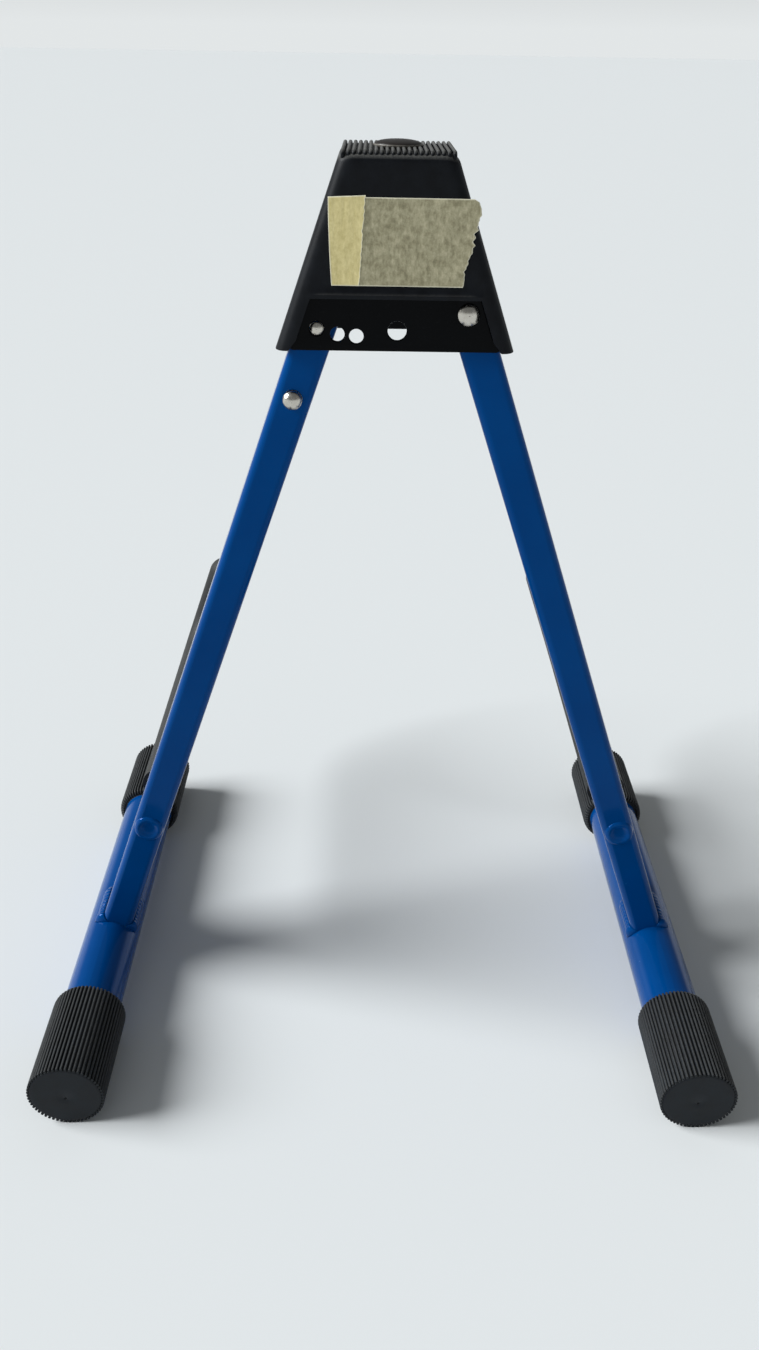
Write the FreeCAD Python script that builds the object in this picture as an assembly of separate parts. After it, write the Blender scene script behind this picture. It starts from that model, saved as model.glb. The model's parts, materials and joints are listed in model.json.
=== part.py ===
import FreeCAD, Part
import math
import os

# Folding two-legged floor stand for a guitar. Each leg carries one base tube, one hooked
# support arm and ends in a shared head at the top. The right leg is riveted rigid in the
# head; the left leg turns about a hidden rivet and is held by a sprung lock pin.
# X runs across the stand, +Y is the side the instrument rests on, +Z is up.
# Y is set out from the middle of the base tubes and moved at the end, so that the
# origin is on the floor under the middle of the finished stand.

# Base tubes and the ribbed rubber caps on their ends
tube_outer = 22.8
tube_wall = 1.5
cap_outer = 29.0
cap_length = 43.0
cap_end_wall = 3.0
cap_edge_round = 1.5
base_length = 218.9
base_spacing = 236.6

# Legs: rectangular tube with rounded corners
leg_width = 12.7
leg_depth = 30.0
leg_wall = 1.5
leg_corner_round = 2.6
leg_rear_y = -27.2
pivot_spacing = 23.0
pivot_height = 316.4
weld_bead_radius = 2.4

# Support arms: a bent steel rod in a thick rubber sleeve, fixed through each leg
arm_height = 76.2
arm_rod = 8.0
arm_sleeve = 16.0
arm_bend_radius = 20.0
arm_reach = 145.0
arm_rise = 51.0
sleeve_tip_wall = 4.0
sleeve_start_gap = 1.5
plug_weld_width = 11.0
plug_weld_height = 0.7

# Head bracket: two plates joined by a web over the leg tops, set out down from the pivot
plate_thickness = 1.5
leg_side_gap = 0.5
bracket_drop = 45.5
crown_gap = 1.0
bracket_corner_round = 1.5
bracket_foot_round = 2.0
bracket_side_margin = 1.0

# Rubber head pad pushed over the bracket
pad_wall = 2.8
pad_side_wall = 2.5
pad_side_gap = 0.4
pad_top_wall = 5.0
pad_panel_drop = 28.9
pad_side_drop = 45.2
pad_flare = 0.2
pad_corner_round = 2.5
badge_width = 15.6
badge_recess = 0.8
badge_dome = 1.7

# Paper tape stuck on the pad, with one end folded back on itself
tape_length = 48.0
tape_left = -21.4
tape_height = 26.0
tape_thickness = 0.25
tape_fold = 10.6
tape_drop = 11.9

# Rivets, the pivot sleeve and the washers
rivet_shank = 5.0
rivet_head = 7.0
rivet_head_height = 1.8
hidden_head_height = 1.2
lower_rivet_distance = 35.7
pivot_sleeve_outer = 8.0
pivot_sleeve_wall = 1.4
running_clearance = 0.1
washer_outer = 12.0
washer_slack = 0.05
head_pocket_clearance = 0.4

# Lock: sprung pin, release button and leaf spring in the left leg
lock_distance = 40.9
button_distance = 65.9
pin_width = 4.2
pin_hole = 4.7
pin_guide_clearance = 0.15
pin_proud = 1.0
button_width = 6.2
button_proud = 3.6
button_dome = 1.8
flange_extra = 1.4
flange_thickness = 0.8
lock_angles = [0.0, 9.6, 18.2]
fold_angle = 36.8
fold_hole = 6.1
spring_width = 8.0
spring_thickness = 0.6
spring_top = 35.0
spring_bottom = 88.0
spring_bend = 3.0
spring_front_length = 42.0
spring_wall_gap = 0.8

# Places worked out from the sizes above
cap_radius = cap_outer / 2
tube_centre_x = base_spacing / 2
pivot_x = pivot_spacing / 2
leg_run = tube_centre_x - pivot_x
leg_fall = pivot_height - cap_radius
leg_length = math.hypot(leg_run, leg_fall)
leg_tilt = math.degrees(math.atan2(leg_run, leg_fall))
slope = leg_run / leg_fall
slant = 1 / math.cos(math.radians(leg_tilt))
leg_front_y = leg_rear_y + leg_depth
arm_drop = (pivot_height - arm_height) * slant
bracket_edge = leg_width / 2 + bracket_side_margin
bracket_bottom = pivot_height - bracket_drop
bracket_top = pivot_height + leg_width / 2 + crown_gap + plate_thickness
pad_top = bracket_top + pad_top_wall
pad_panel_bottom = pivot_height - pad_panel_drop
pad_side_bottom = pivot_height - pad_side_drop
tape_centre_z = pivot_height - tape_drop
leg_mid_y = leg_rear_y + leg_depth / 2
plate_rear_inner = leg_rear_y - leg_side_gap
plate_rear_outer = plate_rear_inner - plate_thickness
plate_front_inner = leg_front_y + leg_side_gap
plate_front_outer = plate_front_inner + plate_thickness
pad_rear = plate_rear_outer - pad_wall
pad_front = plate_front_outer + pad_wall
head_mid_y = (pad_rear + pad_front) / 2
inner_wall_rear = leg_rear_y + leg_wall
origin_shift = -(arm_reach - base_length / 2) / 2
beyond = 5.0
LEFT, RIGHT = -1, 1


def vec(x, y, z):
    return FreeCAD.Vector(x, y, z)


def box(x0, x1, y0, y1, z0, z1):
    return Part.makeBox(x1 - x0, y1 - y0, z1 - z0, vec(x0, y0, z0))


def rod_y(radius, y0, y1, x=0.0, z=0.0):
    """Round bar along Y from y0 to y1."""
    return Part.makeCylinder(radius, y1 - y0, vec(x, y0, z), vec(0, 1, 0))


def rounded_prism(corners, start, along):
    """Prism on a flat outline of (point, radius) corners, pushed from start along a vector."""
    edges = []
    ends = []
    count = len(corners)
    for i in range(count):
        point, radius = corners[i]
        before = (corners[i - 1][0] - point).normalize()
        after = (corners[(i + 1) % count][0] - point).normalize()
        half = before.getAngle(after) / 2
        if radius == 0:
            ends.append((point, None, point))
            continue
        setback = radius / math.tan(half)
        inward = (before + after).normalize()
        middle = point + inward * (radius / math.sin(half) - radius)
        ends.append((point + before * setback, middle, point + after * setback))
    for i in range(count):
        first, middle, last = ends[i]
        if middle is not None:
            edges.append(Part.Arc(first, middle, last).toShape())
        edges.append(Part.LineSegment(last, ends[(i + 1) % count][0]).toShape())
    face = Part.Face(Part.Wire(edges))
    face.translate(start)
    return face.extrude(along)


def rectangle_prism(width, depth, corner, z0, z1, mid_y):
    """Upright rounded bar, centred on x = 0 and y = mid_y."""
    x, y = width / 2, depth / 2
    points = [vec(-x, -y, 0), vec(x, -y, 0), vec(x, y, 0), vec(-x, y, 0)]
    return rounded_prism([(p, corner) for p in points], vec(0, mid_y, z0), vec(0, 0, z1 - z0))


def dome(radius, skirt, height):
    """Round button standing on z = 0: a short straight skirt under a spherical dome."""
    top = skirt + height
    ball = (radius ** 2 + height ** 2) / (2 * height)
    lean = math.asin(min(1.0, radius / ball)) / 2
    shoulder = vec(radius, 0, skirt)
    crown = vec(ball * math.sin(lean), 0, top - ball + ball * math.cos(lean))
    outline = [Part.LineSegment(vec(0, 0, 0), vec(radius, 0, 0)).toShape()]
    outline.append(Part.LineSegment(vec(radius, 0, 0), shoulder).toShape())
    outline.append(Part.Arc(shoulder, crown, vec(0, 0, top)).toShape())
    outline.append(Part.LineSegment(vec(0, 0, top), vec(0, 0, 0)).toShape())
    return Part.Face(Part.Wire(outline)).revolve(vec(0, 0, 0), vec(0, 0, 1), 360)


def dome_on_y(radius, skirt, height, y, facing):
    """The same button lying along Y, standing on the plane at y and facing -Y or +Y."""
    shape = dome(radius, skirt, height)
    shape.rotate(vec(0, 0, 0), vec(1, 0, 0), -90 * facing)
    shape.translate(vec(0, y, 0))
    return shape


def in_leg(shape, side):
    """Moves a shape drawn with the leg's pivot at the origin and the leg hanging straight down."""
    placed = shape.copy()
    placed.rotate(vec(0, 0, 0), vec(0, 1, 0), -side * leg_tilt)
    placed.translate(vec(side * pivot_x, 0, pivot_height))
    return placed


def turned(shape, degrees):
    """Turns a shape about the pivot by a fold angle, the left leg swinging inwards."""
    placed = shape.copy()
    placed.rotate(vec(0, 0, 0), vec(0, 1, 0), -degrees)
    return placed


def head_prism(offset, bottom, top, y0, y1, corner, foot_corner=0, flare=0):
    """Head outline offset outwards from the leg centre lines, its foot wider by the flare."""
    low = pivot_x + (pivot_height - bottom) * slope + offset * slant + flare
    high = pivot_x + (pivot_height - top) * slope + offset * slant
    points = [(vec(-low, 0, bottom), foot_corner), (vec(low, 0, bottom), foot_corner)]
    points += [(vec(high, 0, top), corner), (vec(-high, 0, top), corner)]
    return rounded_prism(points, vec(0, y0, 0), vec(0, y1 - y0, 0))


def joined(first, *others):
    """One solid from touching pieces, with the seams between them taken out."""
    return first.fuse(list(others)).removeSplitter()


def base_tube(side):
    length = base_length - 2 * cap_end_wall
    outer = rod_y(tube_outer / 2, -length / 2, length / 2, side * tube_centre_x, cap_radius)
    bore = rod_y(tube_outer / 2 - tube_wall, -length, length, side * tube_centre_x, cap_radius)
    return outer.cut(bore)


def end_cap(side, end):
    """Rubber cap on a tube end; end is -1 at the rear and +1 at the front."""
    outside = end * base_length / 2
    inside = outside - end * cap_length
    seat = outside - end * cap_end_wall
    x = side * tube_centre_x
    body = rod_y(cap_radius, min(outside, inside), max(outside, inside), x, cap_radius)
    body = body.makeFillet(cap_edge_round, [e for e in body.Edges if e.Curve.TypeId == "Part::GeomCircle"])
    past = inside - end * beyond
    return body.cut(rod_y(tube_outer / 2, min(seat, past), max(seat, past), x, cap_radius))


def leg_bar():
    """Leg before its holes, hanging from the pivot, with a round top and a saddle at the foot."""
    outer = rectangle_prism(
        leg_width, leg_depth, leg_corner_round, -leg_length, leg_width / 2, leg_mid_y
    )
    side = leg_width
    shank = box(-side, side, leg_rear_y - beyond, leg_front_y + beyond, -leg_length - beyond, 0)
    crown = rod_y(leg_width / 2, leg_rear_y - beyond, leg_front_y + beyond)
    outer = outer.common(shank.fuse(crown))
    hollow = rectangle_prism(
        leg_width - 2 * leg_wall,
        leg_depth - 2 * leg_wall,
        leg_corner_round - leg_wall,
        -leg_length - beyond,
        leg_width,
        leg_mid_y,
    )
    saddle = rod_y(tube_outer / 2, -base_length, base_length, 0, -leg_length)
    return outer.cut(hollow).cut(saddle)


def leg(side):
    through = (leg_rear_y - beyond, leg_front_y + beyond)
    rear_only = (leg_rear_y - beyond, leg_mid_y)
    holes = [rod_y(arm_rod / 2, *through, 0, -arm_drop)]
    if side == LEFT:
        holes.append(rod_y(pivot_sleeve_outer / 2 + running_clearance, *through))
        holes.append(rod_y(pin_width / 2 + pin_guide_clearance, *rear_only, 0, -lock_distance))
        holes.append(rod_y(button_width / 2 + pin_guide_clearance, *rear_only, 0, -button_distance))
    else:
        holes.append(rod_y(rivet_shank / 2, *through))
        holes.append(rod_y(rivet_shank / 2, *through, 0, -lower_rivet_distance))
    return in_leg(leg_bar().cut(holes), side)


def leg_weld(side):
    """Two weld beads in the corners between the leg's side faces and its base tube."""
    corner_rise = math.sqrt((tube_outer / 2) ** 2 - (leg_width / 2) ** 2)
    solid_leg = rectangle_prism(
        leg_width, leg_depth, leg_corner_round, -leg_length, 0, leg_mid_y
    )
    tube = rod_y(tube_outer / 2, -base_length, base_length, 0, -leg_length)
    start = leg_rear_y + leg_corner_round
    stop = leg_front_y - leg_corner_round
    beads = []
    for face in (-1, 1):
        x = face * leg_width / 2
        bead = rod_y(weld_bead_radius, start, stop, x, corner_rise - leg_length)
        beads.append(in_leg(bead.cut([solid_leg, tube]), side))
    return Part.makeCompound(beads)


def hooked_bar(radius, start_y, rise):
    """Round bar that runs along +Y at the arm's height and hooks upwards along the leg."""
    turn_y = arm_reach - arm_sleeve / 2 - arm_bend_radius
    centre = vec(0, turn_y, -arm_drop + arm_bend_radius)
    diagonal = arm_bend_radius * math.sqrt(0.5)
    start = vec(0, start_y, -arm_drop)
    bend_start = vec(0, turn_y, -arm_drop)
    bend_middle = centre + vec(0, diagonal, -diagonal)
    bend_end = centre + vec(0, arm_bend_radius, 0)
    tip = vec(0, turn_y + arm_bend_radius, -arm_drop + rise)
    path = [Part.LineSegment(start, bend_start).toShape()]
    path.append(Part.Arc(bend_start, bend_middle, bend_end).toShape())
    path.append(Part.LineSegment(bend_end, tip).toShape())
    section = Part.Wire([Part.makeCircle(radius, start, vec(0, 1, 0))])
    return Part.Wire(path).makePipeShell([section], True, False)


def arm_rod_piece(side):
    return in_leg(hooked_bar(arm_rod / 2, leg_rear_y, arm_rise - sleeve_tip_wall), side)


def arm_sleeve_piece(side):
    """Thick rubber sleeve over the rod, with a domed closed tip."""
    radius = arm_sleeve / 2
    outer = hooked_bar(radius, leg_front_y + sleeve_start_gap, arm_rise - radius)
    tip = Part.makeSphere(radius, vec(0, arm_reach - radius, -arm_drop + arm_rise - radius))
    outer = joined(outer, tip)
    bore = hooked_bar(arm_rod / 2, leg_rear_y, arm_rise - sleeve_tip_wall)
    return in_leg(outer.cut(bore), side)


def arm_weld(side):
    """Plug weld over the arm rod's end on the leg's rear face."""
    bead = dome_on_y(plug_weld_width / 2, plug_weld_height / 3, plug_weld_height, leg_rear_y, -1)
    bead.translate(vec(0, 0, -arm_drop))
    return in_leg(bead, side)


def head_bracket():
    shell = head_prism(
        bracket_edge,
        bracket_bottom,
        bracket_top,
        plate_rear_outer,
        plate_front_outer,
        bracket_corner_round,
        bracket_foot_round,
    )
    wide = base_spacing / 2
    channel = box(
        -wide,
        wide,
        plate_rear_inner,
        plate_front_inner,
        bracket_bottom - beyond,
        bracket_top - plate_thickness,
    )
    through = (plate_rear_outer - beyond, plate_front_outer + beyond)
    rear_only = (plate_rear_outer - beyond, leg_mid_y)
    pin_hole_bar = rod_y(pin_hole / 2, *rear_only, 0, -lock_distance)
    fold_hole_bar = rod_y(fold_hole / 2, *rear_only, 0, -lock_distance)
    holes = [in_leg(turned(pin_hole_bar, angle), LEFT) for angle in lock_angles]
    holes.append(in_leg(turned(fold_hole_bar, fold_angle), LEFT))
    rivet_bar = rod_y(rivet_shank / 2, *through)
    lower_bar = rod_y(rivet_shank / 2, *through, 0, -lower_rivet_distance)
    holes.append(in_leg(rivet_bar, LEFT))
    holes.append(in_leg(rivet_bar, RIGHT))
    holes.append(in_leg(lower_bar, RIGHT))
    return shell.cut([channel] + holes)


def head_pad():
    """Rubber cover: open underneath, its side walls reach lower than its front and rear panels."""
    inner_edge = bracket_edge + pad_side_gap
    outer_edge = inner_edge + pad_side_wall
    pad = head_prism(
        outer_edge,
        pad_side_bottom,
        pad_top,
        pad_rear,
        pad_front,
        pad_corner_round,
        flare=pad_flare,
    )
    cavity = head_prism(
        inner_edge,
        pad_side_bottom - beyond,
        bracket_top,
        plate_rear_outer,
        plate_front_outer,
        bracket_corner_round,
    )
    wide = base_spacing / 2
    low = pad_side_bottom - beyond
    rear_window = box(-wide, wide, pad_rear - beyond, plate_rear_outer, low, pad_panel_bottom)
    front_window = box(-wide, wide, plate_front_outer, pad_front + beyond, low, pad_panel_bottom)
    cuts = [cavity, rear_window, front_window]
    pocket_radius = rivet_head / 2 + head_pocket_clearance
    pocket_depth = hidden_head_height + head_pocket_clearance
    pocket = rod_y(pocket_radius, plate_rear_outer - pocket_depth, plate_front_outer + pocket_depth)
    for side in (LEFT, RIGHT):
        cuts.append(in_leg(pocket, side))
    seat = Part.makeCylinder(badge_width / 2, beyond, vec(0, head_mid_y, pad_top - badge_recess))
    cuts.append(seat)
    return pad.cut(cuts)


def head_badge():
    badge = dome(badge_width / 2, badge_recess, badge_dome)
    badge.translate(vec(0, head_mid_y, pad_top - badge_recess))
    return badge


def tape_label():
    """Thin paper patch, two layers thick where its left end is folded back."""
    low = tape_centre_z - tape_height / 2
    high = tape_centre_z + tape_height / 2
    right = tape_left + tape_length
    fold_end = tape_left + tape_fold
    single = box(tape_left, right, pad_rear - tape_thickness, pad_rear, low, high)
    fold = box(tape_left, fold_end, pad_rear - 2 * tape_thickness, pad_rear, low, high)
    return joined(single, fold)


def rivet(side, distance, head_height):
    """Rivet through both plates and the leg, with a domed head on each plate."""
    shank = rod_y(rivet_shank / 2, plate_rear_outer, plate_front_outer)
    rear = dome_on_y(rivet_head / 2, head_height / 6, head_height * 5 / 6, plate_rear_outer, -1)
    front = dome_on_y(rivet_head / 2, head_height / 6, head_height * 5 / 6, plate_front_outer, 1)
    whole = joined(shank, rear, front)
    whole.translate(vec(0, 0, -distance))
    return in_leg(whole, side)


def pivot_sleeve():
    outer = rod_y(pivot_sleeve_outer / 2, plate_rear_inner, plate_front_inner)
    bore = rod_y(pivot_sleeve_outer / 2 - pivot_sleeve_wall, plate_rear_inner, plate_front_inner)
    return in_leg(outer.cut(bore), LEFT)


def washer_pair(side, distance, bore_radius, slack):
    """Thin washers between the leg and the two plates."""
    rings = []
    for y0, y1 in (
        (plate_rear_inner, leg_rear_y - slack),
        (leg_front_y + slack, plate_front_inner),
    ):
        ring = rod_y(washer_outer / 2, y0, y1).cut(rod_y(bore_radius, y0, y1))
        ring.translate(vec(0, 0, -distance))
        rings.append(in_leg(ring, side))
    return rings


def plunger(width, distance, tip_y, tip_dome):
    """Domed pin through the leg's rear wall, with a flange inside that the leaf spring pushes on."""
    flange_y = inner_wall_rear + flange_thickness
    flange = rod_y(width / 2 + flange_extra / 2, inner_wall_rear, flange_y)
    tip = dome_on_y(width / 2, inner_wall_rear - tip_y - tip_dome, tip_dome, inner_wall_rear, -1)
    whole = joined(flange, tip)
    whole.translate(vec(0, 0, -distance))
    return in_leg(whole, LEFT)


def lock_pin():
    return plunger(pin_width, lock_distance, plate_rear_outer - pin_proud, pin_proud)


def release_button():
    return plunger(button_width, button_distance, leg_rear_y - button_proud, button_dome)


def lock_spring():
    """Leaf spring bent like a hairpin inside the left leg, its rear arm behind the two plungers."""
    rear = inner_wall_rear + flange_thickness
    half = spring_width / 2
    outer_bend = spring_bend + spring_thickness
    front_wall = leg_front_y - leg_wall - spring_wall_gap
    lean = math.atan2(front_wall - rear - 2 * outer_bend, spring_front_length)
    rear_arm = box(-half, half, rear, rear + spring_thickness, -spring_bottom, -spring_top)
    centre = vec(-half, rear + outer_bend, -spring_bottom)
    across = vec(1, 0, 0)
    ring = Part.makeCylinder(outer_bend, spring_width, centre, across)
    ring = ring.cut(Part.makeCylinder(spring_bend, spring_width, centre, across))
    below = box(-half, half, rear, rear + outer_bend, -spring_bottom - 2 * outer_bend, -spring_bottom)
    lower = box(
        -half, half, rear + outer_bend, rear + 3 * outer_bend, -spring_bottom - 2 * outer_bend, -spring_bottom
    )
    side_keep = lower.copy()
    side_keep.rotate(centre, across, -math.degrees(lean))
    bend = ring.common(joined(below, lower.common(side_keep)))
    front_arm = box(
        -half,
        half,
        rear + outer_bend + spring_bend,
        rear + 2 * outer_bend,
        -spring_bottom,
        spring_front_length - spring_bottom,
    )
    front_arm.rotate(centre, across, -math.degrees(lean))
    return in_leg(joined(rear_arm, bend, front_arm), LEFT)


os.makedirs("parts", exist_ok=True)
nodes = {}
for side, side_name in ((LEFT, "left"), (RIGHT, "right")):
    nodes[side_name + "_base_tube"] = base_tube(side)
    nodes[side_name + "_rear_cap"] = end_cap(side, -1)
    nodes[side_name + "_front_cap"] = end_cap(side, 1)
    nodes[side_name + "_leg"] = leg(side)
    nodes[side_name + "_leg_weld"] = leg_weld(side)
    nodes[side_name + "_arm_rod"] = arm_rod_piece(side)
    nodes[side_name + "_arm_sleeve"] = arm_sleeve_piece(side)
    nodes[side_name + "_arm_weld"] = arm_weld(side)
nodes["head_bracket"] = head_bracket()
nodes["head_pad"] = head_pad()
nodes["head_badge"] = head_badge()
nodes["paper_tape_label"] = tape_label()
nodes["left_pivot_rivet"] = rivet(LEFT, 0.0, hidden_head_height)
nodes["right_upper_rivet"] = rivet(RIGHT, 0.0, hidden_head_height)
nodes["right_lower_rivet"] = rivet(RIGHT, lower_rivet_distance, rivet_head_height)
nodes["pivot_sleeve"] = pivot_sleeve()
pivot_bore = pivot_sleeve_outer / 2 + running_clearance
nodes["pivot_washers"] = Part.makeCompound(washer_pair(LEFT, 0.0, pivot_bore, washer_slack))
spacers = washer_pair(RIGHT, 0.0, rivet_shank / 2, 0.0)
spacers += washer_pair(RIGHT, lower_rivet_distance, rivet_shank / 2, 0.0)
nodes["right_leg_spacers"] = Part.makeCompound(spacers)
nodes["lock_pin"] = lock_pin()
nodes["release_button"] = release_button()
nodes["lock_spring"] = lock_spring()

for name, shape in nodes.items():
    shape.translate(vec(0, origin_shift, 0))
    shape.exportStep("parts/" + name + ".step")
    print(name, len(shape.Solids), "valid" if shape.isValid() else "NOT VALID", round(shape.Volume, 1))
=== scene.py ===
import json
import math

import bmesh
import bpy
from mathutils import Matrix, Vector, noise


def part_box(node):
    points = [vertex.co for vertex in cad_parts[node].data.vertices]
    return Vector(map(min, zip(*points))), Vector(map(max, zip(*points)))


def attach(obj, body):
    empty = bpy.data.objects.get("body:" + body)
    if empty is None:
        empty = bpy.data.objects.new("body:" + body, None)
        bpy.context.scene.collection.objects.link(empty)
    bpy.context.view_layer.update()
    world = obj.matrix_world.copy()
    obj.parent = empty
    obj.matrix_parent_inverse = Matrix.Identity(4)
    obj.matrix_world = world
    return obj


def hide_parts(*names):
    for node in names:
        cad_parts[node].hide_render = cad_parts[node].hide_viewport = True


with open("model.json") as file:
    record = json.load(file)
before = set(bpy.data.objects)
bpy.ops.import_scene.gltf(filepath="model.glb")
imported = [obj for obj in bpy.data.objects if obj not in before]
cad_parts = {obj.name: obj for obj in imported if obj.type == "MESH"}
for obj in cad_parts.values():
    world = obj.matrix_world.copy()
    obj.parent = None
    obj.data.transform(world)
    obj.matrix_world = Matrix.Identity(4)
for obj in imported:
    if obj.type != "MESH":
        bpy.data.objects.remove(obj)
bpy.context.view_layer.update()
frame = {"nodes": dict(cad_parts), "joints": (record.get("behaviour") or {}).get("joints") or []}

MM = 0.001

# ---------------------------------------------------------------------------------------
# Foot tubes and legs: drawn steel tube, cut, notched at the foot and welded, then sprayed
# and baked in one coat of glossy blue enamel. They keep their made shapes, and the rolled
# corners of the legs catch the light as two thin lines.


def add(tree, kind, inputs=None, **settings):
    """Adds one node with its settings, and sets or links its inputs."""
    made = tree.nodes.new(kind)
    for name, value in settings.items():
        setattr(made, name, value)
    for key, value in (inputs or {}).items():
        if isinstance(value, bpy.types.NodeSocket):
            tree.links.new(value, made.inputs[key])
        else:
            made.inputs[key].default_value = value
    return made


def colour(hex_code):
    """An sRGB hex colour as the linear colour that a shader socket takes."""
    channels = [int(hex_code[i:i + 2], 16) / 255 for i in (1, 3, 5)]
    linear = [c / 12.92 if c <= 0.04045 else ((c + 0.055) / 1.055) ** 2.4 for c in channels]
    return (*linear, 1.0)


def start_material(name, **shader_values):
    """A new material with its shader's own sockets set, and its Object coordinates."""
    material = bpy.data.materials.new(name)
    material.use_nodes = True
    tree = material.node_tree
    shader = tree.nodes["Principled BSDF"]
    for socket, value in shader_values.items():
        shader.inputs[socket.replace("_", " ")].default_value = value
    place = add(tree, "ShaderNodeTexCoord").outputs["Object"]
    return material, tree, shader, place


def per(millimetres):
    """Noise scale, in cycles per metre, that gives marks about this many millimetres across."""
    return 1 / (millimetres * MM)


def blue_enamel():
    """Baked enamel: deep even blue under a clear glossy skin. The eye gets a faint orange
    peel from the spray gun, a few specks of dust in the coat, and hairline rubs that dull
    the gloss along the tube."""
    material, tree, shader, place = start_material(
        "blue_baked_enamel",
        IOR=1.3,
        Specular_IOR_Level=0.6,
        Specular_Tint=colour("#2888F4"),
        Coat_Weight=0.06,
        Coat_Roughness=0.04,
    )
    cloud = add(tree, "ShaderNodeTexNoise", {"Vector": place, "Scale": per(35), "Detail": 3.0})
    tone = add(
        tree,
        "ShaderNodeMapRange",
        {"Value": cloud.outputs["Fac"], "From Min": 0.3, "From Max": 0.7},
    )
    body = add(
        tree,
        "ShaderNodeMix",
        {"Factor": tone.outputs["Result"], "A": colour("#003A76"), "B": colour("#004180")},
        data_type="RGBA",
    )
    # real specks are about 0.1 mm across, and are drawn nearly four times that to show
    speck = add(tree, "ShaderNodeTexVoronoi", {"Vector": place, "Scale": per(11)})
    speck_mask = add(
        tree,
        "ShaderNodeMapRange",
        {
            "Value": speck.outputs["Distance"],
            "From Min": 0.012,
            "From Max": 0.022,
            "To Min": 0.7,
            "To Max": 0.0,
        },
    )
    lightened = add(
        tree,
        "ShaderNodeMix",
        {
            "Factor": speck_mask.outputs["Result"],
            "A": body.outputs["Result"],
            "B": colour("#4C74A4"),
        },
        data_type="RGBA",
    )
    tree.links.new(lightened.outputs["Result"], shader.inputs["Base Color"])
    stretch = add(tree, "ShaderNodeMapping", {"Vector": place, "Scale": (1.0, 1.0, 0.12)})
    rubs = add(
        tree,
        "ShaderNodeTexNoise",
        {"Vector": stretch.outputs["Vector"], "Scale": per(1.4), "Detail": 4.0},
    )
    gloss = add(
        tree,
        "ShaderNodeMapRange",
        {
            "Value": rubs.outputs["Fac"],
            "From Min": 0.45,
            "From Max": 0.8,
            "To Min": 0.08,
            "To Max": 0.22,
        },
    )
    tree.links.new(gloss.outputs["Result"], shader.inputs["Roughness"])
    peel = add(tree, "ShaderNodeTexNoise", {"Vector": place, "Scale": per(3.0), "Detail": 1.0})
    skin = add(
        tree,
        "ShaderNodeBump",
        {"Height": peel.outputs["Fac"], "Strength": 0.3, "Distance": 0.02 * MM},
    )
    tree.links.new(skin.outputs["Normal"], shader.inputs["Normal"])
    tree.links.new(skin.outputs["Normal"], shader.inputs["Coat Normal"])
    return material


def dress(node_name, material):
    """Gives a CAD part its material."""
    slots = frame["nodes"][node_name].data.materials
    slots.clear()
    slots.append(material)


enamel = blue_enamel()
# the body that each side's parts ride on
SIDES = {"left": "left_leg", "right": "head_and_right_leg"}
for side in SIDES:
    dress(side + "_base_tube", enamel)
    dress(side + "_leg", enamel)

# ---------------------------------------------------------------------------------------
# Leg welds: a fillet bead laid by hand along both sides of each leg's foot, from its rear
# corner forwards. It has the low ripples of the torch, a lump where the arc was struck and
# a rounded crater where it ended, all under the same blue enamel.

BEAD_LENGTH = 23.0 * MM
BEAD_UP_LEG = 3.0 * MM
BEAD_OVER_TUBE = 3.2 * MM
BEAD_CROWN = 2.2 * MM
BEAD_STATIONS = 70
BEAD_CROWDING = 1.4
BEAD_ARC = 7
BEAD_TOE = 0.03
BEAD_ROOT = 0.8 * MM
BEAD_OVERHANG = 0.2 * MM
STRIKE_RISE = 1.6 * MM
CRATER_FALL = 4.0 * MM
LUMP_AT = 1.8 * MM
LUMP_SPREAD = 1.6 * MM
LUMP_HEIGHT = 0.16
WAVER_LENGTH = 5 * MM
WAVER_HEIGHT = 0.06
RIPPLE_PITCH = 2.1 * MM
RIPPLE_HEIGHT = 0.07
LEG_WIDTH = 12.7 * MM
LEG_CORNER = 2.6 * MM

pivot = Vector(next(j for j in frame["joints"] if j["name"] == "leg_fold")["pos_m"])


def side_sign(side):
    return -1 if side == "left" else 1


def leg_axes(side):
    """Foot tube centre and radius, and the leg's own across and up directions."""
    low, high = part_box(side + "_base_tube")
    foot = Vector(((low.x + high.x) / 2, 0, (low.z + high.z) / 2))
    top = Vector((-side_sign(side) * pivot.x, 0, pivot.z))
    up = (top - foot).normalized()
    across = Vector((up.z, 0, -up.x))
    return foot, (high.z - low.z) / 2, across, up


def placed_piece(name, mesh, material):
    """Closes a bmesh into a smooth-shaded object with one material."""
    bmesh.ops.recalc_face_normals(mesh, faces=mesh.faces)
    data = bpy.data.meshes.new(name)
    mesh.to_mesh(data)
    mesh.free()
    for face in data.polygons:
        face.use_smooth = True
    data.materials.append(material)
    piece = bpy.data.objects.new(name, data)
    bpy.context.scene.collection.objects.link(piece)
    return piece


def bead_swell(along):
    """How full the bead is at a distance from its rear end: struck lump, run and crater."""
    start = min(1.0, math.sqrt(max(0.0, along) / STRIKE_RISE))
    end = min(1.0, math.sqrt(max(0.0, BEAD_LENGTH - along) / CRATER_FALL))
    lump = LUMP_HEIGHT * math.exp(-(((along - LUMP_AT) / LUMP_SPREAD) ** 2))
    waver = WAVER_HEIGHT * noise.noise(Vector((along / WAVER_LENGTH, 0.3, 0)))
    ripple = RIPPLE_HEIGHT * math.sin(2 * math.pi * along / RIPPLE_PITCH)
    return start * end * (1 + lump + waver + ripple) + BEAD_TOE


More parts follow.
